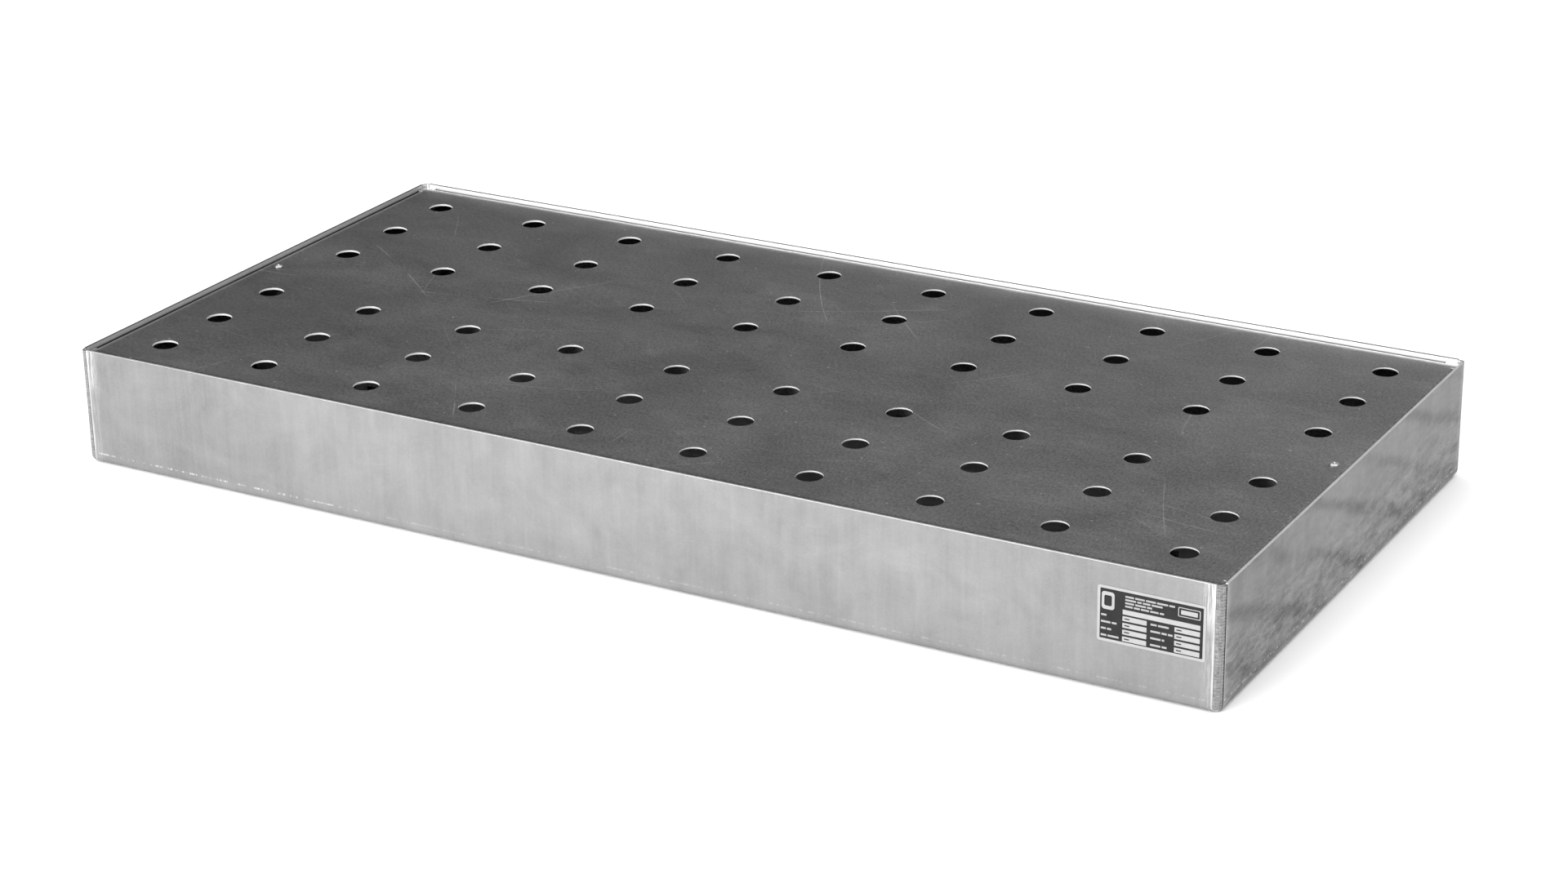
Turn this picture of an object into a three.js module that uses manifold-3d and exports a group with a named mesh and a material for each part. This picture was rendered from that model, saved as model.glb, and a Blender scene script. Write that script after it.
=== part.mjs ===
// Spill tray for small containers, with a drop-in perforated deck.
//
// A long, low tray of folded sheet steel, welded at its four vertical corners,
// holds a folded sheet deck with round holes. The deck stands on the tray floor
// on its own turned-down edges and on a channel that runs lengthwise under its
// middle. Millimetres. The origin is the middle of the underside, +X runs along
// the length, -Y is the front with the type plate, and +Z is up.
import * as THREE from "three";
import { RoundedBoxGeometry } from "three/addons/geometries/RoundedBoxGeometry.js";
import { mergeVertices } from "three/addons/utils/BufferGeometryUtils.js";
import Module from "manifold-3d";

const wasm = await Module();
wasm.setup();

// Driving dimensions
const LENGTH = 1000;
const WIDTH = 490;
const HEIGHT = 98;
const SHEET = 2;
const BEND_SEGMENTS = 5;
const GAP = 0.3;

// Cutting tools reach this far past the sheet that they cut
const OVERSHOOT = 10;

// The tray's bends: the outer radius of the sheet, at the floor and at the corners
const TRAY_BEND = 6;

// Corner welds stand this far proud of the walls, stop this far below the rim,
// and clear the ground by the lift
const WELD_PROUD = 0.5;
const WELD_TOP_DROP = 0.5;
const WELD_LIFT = 0.1;

// The deck: how far its top lies below the rim, the gap between its turned-down
// edges and the tray walls, and the outer radius of its bends
const DECK_DROP = 3;
const DECK_GAP = 1.5;
const DECK_BEND = 4;
const DECK_LEG_BOTTOM = 3.3;

// At its corners the deck is left flat: tabs reach almost to the tray walls, with a
// slit between each tab and the bends beside it. The pieces that join the tabs to the
// flat sheet reach into it by the overlap
const CORNER_TAB = 14;
const CORNER_TAB_GAP = 0.6;
const CORNER_TAB_RADIUS = 5;
const TAB_RELIEF = 1;
const TAB_OVERLAP = 5;

// Round holes in ten columns and two groups of three rows, with a plain strip
// along the middle
const HOLE_DIAMETER = 21;
const HOLE_COLUMNS = 10;
const HOLE_PITCH_X = 100;
const HOLE_PITCH_Y = 71.5;
const FIRST_ROW_Y = 55;
const ROWS_PER_SIDE = 3;
const HOLE_SIDES = 16;
const RIVET_HOLE_SIDES = 12;

// Drain notches in the lower edges of the deck's legs and of the channel's legs
const NOTCH_WIDTH = 30;
const NOTCH_HEIGHT = 12;
const LONG_SIDE_NOTCHES = [-400, -200, 0, 200, 400];
const SHORT_SIDE_NOTCHES = [-120, 120];
const CHANNEL_NOTCHES = [-360, -120, 120, 360];

// The channel under the middle of the deck
const CHANNEL_LENGTH = 984;
const CHANNEL_WIDTH = 60;
const CHANNEL_BEND = 4;

// Blind rivets that hold the channel to the deck
const RIVET_X = 484;
const RIVET_SHANK = 4;
const RIVET_HOLE = 4.6;
const RIVET_HEAD = 8;
const RIVET_HEAD_HEIGHT = 1.4;
const RIVET_HEAD_EDGE = 0.35;
const RIVET_BORE = 2.8;
const RIVET_SIDES = 16;
const RIVET_BULGE = 6;
const RIVET_BLIND_LENGTH = 4;
const MANDREL = 2.2;
const MANDREL_HEAD = 3.5;
const MANDREL_HEAD_HEIGHT = 2;
const MANDREL_BREAK = 1;

// The type plate on the front wall, near its right end
const PLATE_WIDTH = 82;
const PLATE_HEIGHT = 42.6;
const PLATE_X = 446.5;
const PLATE_Z = 59.3;
const PLATE_CORNER = 2;
const PLATE_THICKNESS = 0.35;
const PLATE_GLUE = 0.1;

// Derived levels
const halfLength = LENGTH / 2;
const halfWidth = WIDTH / 2;
const deckTop = HEIGHT - DECK_DROP;
const deckUnder = deckTop - SHEET;
const channelTop = deckUnder - GAP;
const channelUnder = channelTop - SHEET;
const channelLegBottom = SHEET + GAP;

const zincTray = { color: 0xb4b6b8, roughness: 0.42, metalness: 0.85 };
const zincDeck = { color: 0x74777a, roughness: 0.35, metalness: 0.85 };
const weldSteel = { color: 0x8f9193, roughness: 0.55, metalness: 0.8 };
const rivetMetal = { color: 0xd0d2d4, roughness: 0.3, metalness: 0.9 };
const foil = { color: 0x3a3b3d, roughness: 0.5, metalness: 0.3 };

// A closed geometry as a manifold-3d solid
function solid(geometry) {
  const bare = geometry.clone();
  bare.deleteAttribute("normal");
  bare.deleteAttribute("uv");
  const merged = mergeVertices(bare, 1e-4);
  return new wasm.Manifold(
    new wasm.Mesh({
      numProp: 3,
      vertProperties: new Float32Array(merged.attributes.position.array),
      triVerts: new Uint32Array(merged.index.array),
    }),
  );
}

// A manifold-3d solid as a geometry
function geometryOf(body) {
  const mesh = body.getMesh();
  const points = new Float32Array(mesh.vertProperties);
  const geometry = new THREE.BufferGeometry();
  geometry.setAttribute("position", new THREE.BufferAttribute(points, 3));
  geometry.setIndex(new THREE.BufferAttribute(new Uint32Array(mesh.triVerts), 1));
  geometry.computeVertexNormals();
  return geometry;
}

// A plain block between two corners
function block(x0, x1, y0, y1, z0, z1) {
  const geometry = new THREE.BoxGeometry(x1 - x0, y1 - y0, z1 - z0);
  geometry.translate((x0 + x1) / 2, (y0 + y1) / 2, (z0 + z1) / 2);
  return solid(geometry);
}

// A round bar along Z that cuts a hole through the deck and the channel's web
function holeCutter(x, y, diameter, sides) {
  const radius = diameter / 2;
  const low = channelUnder - OVERSHOOT;
  const high = deckTop + OVERSHOOT;
  const geometry = new THREE.CylinderGeometry(radius, radius, high - low, sides);
  geometry.rotateX(Math.PI / 2);
  geometry.translate(x, y, (low + high) / 2);
  return solid(geometry);
}

// The section of an inverted channel: a web on top, two legs down, rounded bends
function channelShape(half, bottom, top, bend) {
  const inner = bend - SHEET;
  const shape = new THREE.Shape();
  shape.moveTo(half, bottom);
  shape.lineTo(half, top - bend);
  shape.absarc(half - bend, top - bend, bend, 0, Math.PI / 2, false);
  shape.lineTo(-half + bend, top);
  shape.absarc(-half + bend, top - bend, bend, Math.PI / 2, Math.PI, false);
  shape.lineTo(-half, bottom);
  shape.lineTo(-half + SHEET, bottom);
  shape.lineTo(-half + SHEET, top - bend);
  shape.absarc(-half + bend, top - bend, inner, Math.PI, Math.PI / 2, true);
  shape.lineTo(half - bend, top - SHEET);
  shape.absarc(half - bend, top - bend, inner, Math.PI / 2, 0, true);
  shape.lineTo(half - SHEET, bottom);
  shape.closePath();
  return shape;
}

// A section extruded symmetrically about its own plane
function extruded(shape, length) {
  const geometry = new THREE.ExtrudeGeometry(shape, {
    depth: length,
    bevelEnabled: false,
    curveSegments: BEND_SEGMENTS,
  });
  geometry.translate(0, 0, -length / 2);
  return geometry;
}

// A section extruded along X: its width lies along Y and its height along Z
function alongX(shape, length) {
  const geometry = extruded(shape, length);
  const turn = new THREE.Matrix4().makeBasis(
    new THREE.Vector3(0, 1, 0),
    new THREE.Vector3(0, 0, 1),
    new THREE.Vector3(1, 0, 0),
  );
  geometry.applyMatrix4(turn);
  return solid(geometry);
}

// A section extruded along Y: its width lies along X and its height along Z
function alongY(shape, length) {
  const geometry = extruded(shape, length);
  geometry.rotateX(Math.PI / 2);
  return solid(geometry);
}

// A box with all its edges rounded, standing on the level z0 and taller than the tray
function roundedBin(length, width, z0, radius) {
  const tall = HEIGHT * 2;
  const geometry = new RoundedBoxGeometry(length, width, tall, BEND_SEGMENTS, radius);
  geometry.translate(0, 0, z0 + tall / 2);
  return solid(geometry);
}

// The folded sheet of the tray: floor and four walls, open at its vertical corners
function trayPan() {
  const outer = roundedBin(LENGTH, WIDTH, 0, TRAY_BEND);
  const inner = roundedBin(
    LENGTH - 2 * SHEET,
    WIDTH - 2 * SHEET,
    SHEET,
    TRAY_BEND - SHEET,
  );
  let body = outer.subtract(inner);
  body = body.intersect(
    block(-halfLength, halfLength, -halfWidth, halfWidth, 0, HEIGHT),
  );
  for (const sx of [-1, 1]) {
    for (const sy of [-1, 1]) {
      const x0 = sx * (halfLength - TRAY_BEND);
      const y0 = sy * (halfWidth - TRAY_BEND);
      const x1 = sx * (halfLength + OVERSHOOT);
      const y1 = sy * (halfWidth + OVERSHOOT);
      const corner = block(
        Math.min(x0, x1),
        Math.max(x0, x1),
        Math.min(y0, y1),
        Math.max(y0, y1),
        -OVERSHOOT,
        HEIGHT + OVERSHOOT,
      );
      body = body.subtract(corner);
    }
  }
  return geometryOf(body);
}

// A vertical corner weld: a quarter of a round-bottomed tube, about its own axis,
// filling the quadrant of +X and +Y
function cornerWeld() {
  const outer = TRAY_BEND + WELD_PROUD;
  const inner = TRAY_BEND - SHEET;
  const top = HEIGHT - WELD_TOP_DROP;
  const steps = BEND_SEGMENTS + 1;
  const profile = [];
  for (let i = 0; i <= steps; i += 1) {
    const a = (i / steps) * (Math.PI / 2);
    profile.push(
      new THREE.Vector2(outer * Math.sin(a), TRAY_BEND - outer * Math.cos(a)),
    );
  }
  profile.push(new THREE.Vector2(outer, top));
  profile.push(new THREE.Vector2(inner, top));
  for (let i = steps; i >= 0; i -= 1) {
    const a = (i / steps) * (Math.PI / 2);
    profile.push(
      new THREE.Vector2(inner * Math.sin(a), TRAY_BEND - inner * Math.cos(a)),
    );
  }
  const geometry = new THREE.LatheGeometry(profile, 4 * steps);
  geometry.rotateX(Math.PI / 2);
  const quarter = block(GAP, OVERSHOOT, GAP, OVERSHOOT, WELD_LIFT, HEIGHT);
  return geometryOf(solid(geometry).intersect(quarter));
}

// A flat sheet piece from its outline, lying between the deck's two faces
function flatPiece(points) {
  const geometry = new THREE.ExtrudeGeometry(new THREE.Shape(points), {
    depth: SHEET,
    bevelEnabled: false,
  });
  geometry.translate(0, 0, deckUnder);
  return solid(geometry);
}

// A flat corner of the deck with one rounded corner, in the quadrant sx, sy
function cornerTab(sx, sy, nearX, nearY) {
  const farX = halfLength - SHEET - CORNER_TAB_GAP;
  const farY = halfWidth - SHEET - CORNER_TAB_GAP;
  const r = CORNER_TAB_RADIUS;
  const points = [new THREE.Vector2(sx * nearX, sy * nearY)];
  points.push(new THREE.Vector2(sx * farX, sy * nearY));
  for (let i = 0; i <= BEND_SEGMENTS; i += 1) {
    const a = (i / BEND_SEGMENTS) * (Math.PI / 2);
    const x = farX - r + r * Math.cos(a);
    const y = farY - r + r * Math.sin(a);
    points.push(new THREE.Vector2(sx * x, sy * y));
  }
  points.push(new THREE.Vector2(sx * nearX, sy * farY));
  return flatPiece(points);
}

// The folded deck sheet: legs on four sides, flat corners, holes and drain notches
function perforatedDeck() {
  const legX = halfLength - SHEET - DECK_GAP;
  const legY = halfWidth - SHEET - DECK_GAP;
  const foldX = halfLength - SHEET - CORNER_TAB;
  const foldY = halfWidth - SHEET - CORNER_TAB;
  const alongLength = channelShape(legY, DECK_LEG_BOTTOM, deckTop, DECK_BEND);
  const alongWidth = channelShape(legX, DECK_LEG_BOTTOM, deckTop, DECK_BEND);
  let body = alongX(alongLength, 2 * foldX);
  body = body.add(alongY(alongWidth, 2 * foldY));

  for (const sx of [-1, 1]) {
    for (const sy of [-1, 1]) {
      const flatX = legX - DECK_BEND;
      const flatY = legY - DECK_BEND;
      const underX = foldX - TAB_OVERLAP;
      const underY = foldY - TAB_OVERLAP;
      const fill = [
        new THREE.Vector2(sx * underX, sy * underY),
        new THREE.Vector2(sx * flatX, sy * underY),
        new THREE.Vector2(sx * flatX, sy * flatY),
        new THREE.Vector2(sx * underX, sy * flatY),
      ];
      const nearX = foldX + TAB_RELIEF;
      const nearY = foldY + TAB_RELIEF;
      body = body.add(flatPiece(fill));
      body = body.add(cornerTab(sx, sy, nearX, nearY));
    }
  }

  for (let column = 0; column < HOLE_COLUMNS; column += 1) {
    const x = (column - (HOLE_COLUMNS - 1) / 2) * HOLE_PITCH_X;
    for (const side of [-1, 1]) {
      for (let row = 0; row < ROWS_PER_SIDE; row += 1) {
        const y = side * (FIRST_ROW_Y + row * HOLE_PITCH_Y);
        body = body.subtract(holeCutter(x, y, HOLE_DIAMETER, HOLE_SIDES));
      }
    }
  }

  for (const side of [-1, 1]) {
    body = body.subtract(
      holeCutter(side * RIVET_X, 0, RIVET_HOLE, RIVET_HOLE_SIDES),
    );
  }

  const notchTop = SHEET + NOTCH_HEIGHT;
  const reach = NOTCH_WIDTH / 2;
  for (const x of LONG_SIDE_NOTCHES) {
    body = body.subtract(
      block(x - reach, x + reach, -halfWidth, halfWidth, 0, notchTop),
    );
  }
  for (const y of SHORT_SIDE_NOTCHES) {
    body = body.subtract(
      block(-halfLength, halfLength, y - reach, y + reach, 0, notchTop),
    );
  }
  return geometryOf(body);
}

// The inverted channel that carries the middle of the deck
function centreSupport() {
  const section = channelShape(
    CHANNEL_WIDTH / 2,
    channelLegBottom,
    channelTop,
    CHANNEL_BEND,
  );
  let body = alongX(section, CHANNEL_LENGTH);
  const notchTop = SHEET + NOTCH_HEIGHT;
  const reach = NOTCH_WIDTH / 2;
  for (const x of CHANNEL_NOTCHES) {
    body = body.subtract(
      block(x - reach, x + reach, -CHANNEL_WIDTH, CHANNEL_WIDTH, 0, notchTop),
    );
  }
  for (const side of [-1, 1]) {
    body = body.subtract(
      holeCutter(side * RIVET_X, 0, RIVET_HOLE, RIVET_HOLE_SIDES),
    );
  }
  return geometryOf(body);
}

// The rivet's body about its own axis: domed head, shank and the bulge that the
// mandrel pulled up behind the channel, with the bore through all of it
function rivetBody() {
  const bore = RIVET_BORE / 2;
  const head = RIVET_HEAD / 2;
  const shank = RIVET_SHANK / 2;
  const bulge = RIVET_BULGE / 2;
  const seat = deckTop + GAP;
  const crown = seat + RIVET_HEAD_HEIGHT;
  const rim = seat + RIVET_HEAD_EDGE;
  const blind = channelUnder - GAP;
  const end = blind - RIVET_BLIND_LENGTH;
  const middle = (blind + end) / 2;
  const profile = [
    new THREE.Vector2(bore, crown),
    new THREE.Vector2(bore, end),
    new THREE.Vector2(shank, end),
    new THREE.Vector2(bulge, middle),
    new THREE.Vector2(shank, blind),
    new THREE.Vector2(shank, seat),
    new THREE.Vector2(head, seat),
    new THREE.Vector2(head, rim),
    new THREE.Vector2(head * 0.8, rim + (crown - rim) * 0.55),
    new THREE.Vector2(head * 0.58, rim + (crown - rim) * 0.88),
    new THREE.Vector2(bore, crown),
  ];
  const geometry = new THREE.LatheGeometry(profile, RIVET_SIDES);
  geometry.rotateX(Math.PI / 2);
  return geometryOf(solid(geometry));
}

// What stays of the rivet's mandrel: the broken pin, and its head below the body
function rivetMandrel() {
  const pin = MANDREL / 2;
  const head = MANDREL_HEAD / 2;
  const neck = channelUnder - GAP - RIVET_BLIND_LENGTH - GAP;
  const profile = [
    new THREE.Vector2(0, neck - MANDREL_HEAD_HEIGHT),
    new THREE.Vector2(pin, neck - MANDREL_HEAD_HEIGHT),
    new THREE.Vector2(head, neck - MANDREL_HEAD_HEIGHT / 2),
    new THREE.Vector2(head, neck),
    new THREE.Vector2(pin, neck),
    new THREE.Vector2(pin, deckTop + MANDREL_BREAK),
    new THREE.Vector2(0, deckTop + MANDREL_BREAK),
  ];
  const geometry = new THREE.LatheGeometry(profile, RIVET_SIDES);
  geometry.rotateX(Math.PI / 2);
  return geometryOf(solid(geometry));
}

// The thin type plate about its own middle, standing upright and facing -Y
function typePlate() {
  const w = PLATE_WIDTH / 2;
  const h = PLATE_HEIGHT / 2;
  const r = PLATE_CORNER;
  const outline = new THREE.Shape();
  outline.moveTo(-w + r, -h);
  outline.lineTo(w - r, -h);
  outline.absarc(w - r, -h + r, r, -Math.PI / 2, 0, false);
  outline.lineTo(w, h - r);
  outline.absarc(w - r, h - r, r, 0, Math.PI / 2, false);
  outline.lineTo(-w + r, h);
  outline.absarc(-w + r, h - r, r, Math.PI / 2, Math.PI, false);
  outline.lineTo(-w, -h + r);
  outline.absarc(-w + r, -h + r, r, Math.PI, Math.PI * 1.5, false);
  const geometry = new THREE.ExtrudeGeometry(outline, {
    depth: PLATE_THICKNESS,
    bevelEnabled: false,
    curveSegments: BEND_SEGMENTS,
  });
  geometry.rotateX(Math.PI / 2);
  return geometryOf(solid(geometry));
}

// A named mesh with its own material
function piece(name, geometry, look) {
  const mesh = new THREE.Mesh(geometry, new THREE.MeshStandardMaterial(look));
  mesh.name = name;
  return mesh;
}

const tray = new THREE.Group();
tray.add(piece("tray_pan", trayPan(), zincTray));

// One weld for each corner, turned a quarter turn at a time
const weldCorners = [
  { name: "weld_back_right", sx: 1, sy: 1, turn: 0 },
  { name: "weld_back_left", sx: -1, sy: 1, turn: 1 },
  { name: "weld_front_left", sx: -1, sy: -1, turn: 2 },
  { name: "weld_front_right", sx: 1, sy: -1, turn: 3 },
];
for (const corner of weldCorners) {
  const weld = piece(corner.name, cornerWeld(), weldSteel);
  weld.position.set(
    corner.sx * (halfLength - TRAY_BEND),
    corner.sy * (halfWidth - TRAY_BEND),
    0,
  );
  weld.rotation.z = (corner.turn * Math.PI) / 2;
  tray.add(weld);
}

const plate = piece("type_plate", typePlate(), foil);
plate.position.set(PLATE_X, -halfWidth - PLATE_GLUE, PLATE_Z);
tray.add(plate);

const deck = new THREE.Group();
deck.add(piece("perforated_deck", perforatedDeck(), zincDeck));
deck.add(piece("centre_support", centreSupport(), zincTray));
const rivets = [
  { end: "left", side: -1 },
  { end: "right", side: 1 },
];
for (const rivet of rivets) {
  const body = piece("rivet_body_" + rivet.end, rivetBody(), rivetMetal);
  const mandrel = piece("rivet_mandrel_" + rivet.end, rivetMandrel(), weldSteel);
  body.position.x = rivet.side * RIVET_X;
  mandrel.position.x = rivet.side * RIVET_X;
  deck.add(body);
  deck.add(mandrel);
}

const group = new THREE.Group();
group.add(tray);
group.add(deck);

export default group;
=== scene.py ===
"""A galvanised spill tray with a drop-in perforated deck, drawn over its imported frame.

Every sheet piece is drawn flat with its holes and notches, given rounded cut edges, and then
folded along its bend lines. All sizes are metres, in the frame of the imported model.
"""

import math
import random

import bmesh
import bpy
from mathutils import Matrix, Vector, noise
from mathutils.geometry import tessellate_polygon


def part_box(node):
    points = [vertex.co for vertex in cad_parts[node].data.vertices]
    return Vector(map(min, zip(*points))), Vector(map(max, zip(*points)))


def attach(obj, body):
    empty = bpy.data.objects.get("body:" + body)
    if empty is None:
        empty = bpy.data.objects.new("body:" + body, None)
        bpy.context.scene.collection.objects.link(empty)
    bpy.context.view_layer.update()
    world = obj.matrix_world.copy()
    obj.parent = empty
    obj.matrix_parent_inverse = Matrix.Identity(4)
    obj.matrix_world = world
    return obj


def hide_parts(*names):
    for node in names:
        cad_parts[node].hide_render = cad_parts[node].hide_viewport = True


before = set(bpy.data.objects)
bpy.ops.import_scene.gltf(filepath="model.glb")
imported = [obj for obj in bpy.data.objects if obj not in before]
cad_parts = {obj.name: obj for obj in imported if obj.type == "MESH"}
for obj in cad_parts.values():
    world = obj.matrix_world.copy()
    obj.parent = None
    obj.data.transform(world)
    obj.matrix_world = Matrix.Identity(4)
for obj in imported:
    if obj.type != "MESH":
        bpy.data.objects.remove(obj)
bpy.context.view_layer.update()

MM = 0.001
SHEET = 2 * MM
RIGHT_ANGLE = math.pi / 2
HALF_TURN = math.pi
FULL_TURN = 2 * math.pi

TRAY_LOW, TRAY_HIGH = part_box("tray_pan")
DECK_LOW, DECK_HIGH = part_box("perforated_deck")
SUPPORT_LOW, SUPPORT_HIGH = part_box("centre_support")
PLATE_LOW, PLATE_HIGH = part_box("type_plate")

TRAY_BEND = 6 * MM
DECK_BEND = 4 * MM
DECK_GAP = 1.5 * MM
SUPPORT_BEND = 4 * MM
BEND_STEPS = 8

# The deck's folds stop this far from the tray's inner corners, and flat tabs go on from there
CORNER_TAB = 14 * MM
TAB_GAP = 0.6 * MM
TAB_SLIT = 1 * MM
TAB_RADIUS = 5 * MM
SLIT_RADIUS = 0.4 * MM
FOLD_END, FOLD_SIDE = DECK_HIGH.x + TAB_GAP - CORNER_TAB, DECK_HIGH.y + TAB_GAP - CORNER_TAB

HOLE_RADIUS = 10.5 * MM
HOLE_COLUMNS = 10
HOLE_PITCH = 100 * MM
HOLE_ROWS = (55 * MM, 126.5 * MM, 198 * MM)
HOLE_STEPS = 64
RIVET_HOLE_RADIUS = 2.3 * MM
RIVET_HOLE_STEPS = 24

NOTCH_LENGTH = 30 * MM
NOTCH_DEPTH = 12 * MM
LONG_SIDE_NOTCHES = (-400 * MM, -200 * MM, 0, 200 * MM, 400 * MM)
SHORT_SIDE_NOTCHES = (-120 * MM, 120 * MM)
SUPPORT_NOTCHES = (-360 * MM, -120 * MM, 120 * MM, 360 * MM)

CUT_EDGE_RADIUS = 0.3 * MM
HOLE_LIP_RADIUS = 0.25 * MM
EDGE_STEPS = 3
CORNER_RADIUS = 1 * MM
BLANK_CORNER_RADIUS = 0.6 * MM
CORNER_STEPS = 4

# Material slots of a sheet: its faces, its sheared outline and its punched holes
SHEARED, PUNCHED = 1, 2


# ---------------------------------------------------------------- material helpers


def fill(tree, socket, given):
    """Links a socket to another one, or sets its value."""
    if isinstance(given, bpy.types.NodeSocket):
        tree.links.new(given, socket)
    else:
        socket.default_value = given


def number(tree, operation, first, second=0.0):
    """One math node."""
    made = tree.nodes.new("ShaderNodeMath")
    made.operation = operation
    fill(tree, made.inputs[0], first)
    fill(tree, made.inputs[1], second)
    return made.outputs[0]


def times(tree, *parts):
    """The product of several sockets or values."""
    result = parts[0]
    for part in parts[1:]:
        result = number(tree, "MULTIPLY", result, part)
    return result


def rest_of(tree, given):
    """1 minus the given value."""
    return number(tree, "SUBTRACT", 1.0, given)


def size_of(tree, given):
    """The given value without its sign."""
    return number(tree, "ABSOLUTE", given)


def distance(tree, across, along):
    """The length of a flat vector."""
    square = number(tree, "ADD", times(tree, across, across), times(tree, along, along))
    return number(tree, "SQRT", square)


def total(tree, *parts):
    """The sum of several sockets or values."""
    result = parts[0]
    for part in parts[1:]:
        result = number(tree, "ADD", result, part)
    return result


def ramp(tree, given, low, high, out_low=0.0, out_high=1.0):
    """Goes smoothly from out_low to out_high as the given value goes from low to high."""
    made = tree.nodes.new("ShaderNodeMapRange")
    made.interpolation_type = "SMOOTHSTEP"
    fill(tree, made.inputs["Value"], given)
    made.inputs["From Min"].default_value = low
    made.inputs["From Max"].default_value = high
    made.inputs["To Min"].default_value = out_low
    made.inputs["To Max"].default_value = out_high
    return made.outputs["Result"]


def stripe(tree, given, middle, width):
    """1 at the middle, falling to 0 at half the width to each side."""
    off = size_of(tree, number(tree, "SUBTRACT", given, middle))
    return ramp(tree, off, 0.0, width / 2, 1.0, 0.0)


def coordinates(tree, given):
    """The three coordinates of a vector."""
    parts = tree.nodes.new("ShaderNodeSeparateXYZ")
    tree.links.new(given, parts.inputs[0])
    return parts.outputs[0], parts.outputs[1], parts.outputs[2]


def surface_point(tree):
    """The point on the piece, in metres."""
    return tree.nodes.new("ShaderNodeTexCoord").outputs["Object"]


def surface_direction(tree):
    """The direction that the surface faces."""
    return tree.nodes.new("ShaderNodeTexCoord").outputs["Normal"]


def clouds(tree, point, size, detail=3.0, rough=0.55, warp=0.0):
    """Noise between 0 and 1 whose features have the given size along X, Y and Z."""
    scaled = tree.nodes.new("ShaderNodeVectorMath")
    scaled.operation = "DIVIDE"
    tree.links.new(point, scaled.inputs[0])
    scaled.inputs[1].default_value = size
    made = tree.nodes.new("ShaderNodeTexNoise")
    tree.links.new(scaled.outputs[0], made.inputs["Vector"])
    made.inputs["Scale"].default_value = 1.0
    made.inputs["Detail"].default_value = detail
    made.inputs["Roughness"].default_value = rough
    made.inputs["Distortion"].default_value = warp
    return made.outputs["Fac"]


def around_half(tree, given, amount):
    """Turns noise around one half into a value around zero that reaches about the amount."""
    return times(tree, number(tree, "SUBTRACT", given, 0.5), 4 * amount)


SCRATCH_SEED = 7
SCRATCHES = 14
SCRATCH_WIDTH = 1 * MM


def arc_scratches(tree, x, y, point):
    """Thin long arcs across a flat sheet, each broken up by noise."""
    dice = random.Random(SCRATCH_SEED)
    result = 0.0
    for _ in range(SCRATCHES):
        angle = dice.uniform(0, FULL_TURN)
        radius = dice.uniform(0.25, 1.6)
        through = Vector((dice.uniform(-0.45, 0.45), dice.uniform(-0.2, 0.2)))
        middle = through - radius * Vector((math.cos(angle), math.sin(angle)))
        across = number(tree, "SUBTRACT", x, middle.x)
        along = number(tree, "SUBTRACT", y, middle.y)
        line = stripe(tree, distance(tree, across, along), radius, SCRATCH_WIDTH * dice.uniform(0.6, 1.5))
        result = total(tree, times(tree, line, dice.uniform(0.3, 1.0)), result)
    broken = ramp(tree, clouds(tree, point, (90 * MM, 90 * MM, 90 * MM), 2.0), 0.47, 0.6)
    return times(tree, result, broken)


def finish_metal(material, grey, roughness, height, metallic):
    """Links grey, roughness and relief to a material's shader."""
    tree = material.node_tree
    shader = tree.nodes["Principled BSDF"]
    tone = tree.nodes.new("ShaderNodeCombineColor")
    for socket in tone.inputs[:3]:
        fill(tree, socket, grey)
    tree.links.new(tone.outputs[0], shader.inputs["Base Color"])
    fill(tree, shader.inputs["Roughness"], roughness)
    shader.inputs["Metallic"].default_value = metallic
    relief = tree.nodes.new("ShaderNodeBump")
    relief.inputs["Strength"].default_value = 1.0
    relief.inputs["Distance"].default_value = 1.0
    fill(tree, relief.inputs["Height"], height)
    tree.links.new(relief.outputs[0], shader.inputs["Normal"])
    return material


def new_material(name):
    material = bpy.data.materials.new(name)
    material.use_nodes = True
    return material, material.node_tree


# ---------------------------------------------------------------- materials

BAND_SLOPE = math.radians(22)
BAND_PITCH = 38 * MM
RIPPLE_PITCH = 2.3 * MM


def painted_reflection_bands(tree, point, y, z):
    """Painted reflection: soft dark bands across an end wall that sink towards the back, between 0 and 1.
    """
    across = total(tree, times(tree, z, math.cos(BAND_SLOPE)), times(tree, y, math.sin(BAND_SLOPE)))
    wander = clouds(tree, point, (90 * MM, 90 * MM, 60 * MM), 3.0, 0.5)
    turns = total(tree, number(tree, "DIVIDE", across, BAND_PITCH), around_half(tree, wander, 0.16))
    bands = stripe(tree, number(tree, "FRACT", turns), 0.5, 0.5)
    patchy = clouds(tree, point, (60 * MM, 60 * MM, 40 * MM), 2.0)
    return times(tree, bands, ramp(tree, patchy, 0.36, 0.6, 0.3, 1.0))


def low_scuffs(tree, point, x, z, end_wall):
    """Broken bright marks along the bottom bend, strongest towards the left end."""
    band = stripe(tree, z, TRAY_BEND + 3 * MM, 2.4 * MM)
    dashes = ramp(tree, clouds(tree, point, (5 * MM, 5 * MM, 40 * MM), 5.0, 0.8), 0.5, 0.56)
    left_part = ramp(tree, x, -0.3, -0.2, 1.0, 0.25)
    worn = number(tree, "MAXIMUM", left_part, times(tree, end_wall, 0.85))
    return times(tree, band, dashes, worn)


def beside_welds(tree, off_x, off_y):
    """1 close to the welded corners."""
    near_end = ramp(tree, off_x, TRAY_HIGH.x - 20 * MM, TRAY_HIGH.x - 8 * MM)
    near_side = ramp(tree, off_y, TRAY_HIGH.y - 14 * MM, TRAY_HIGH.y - 7 * MM)
    return times(tree, near_end, near_side)


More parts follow.
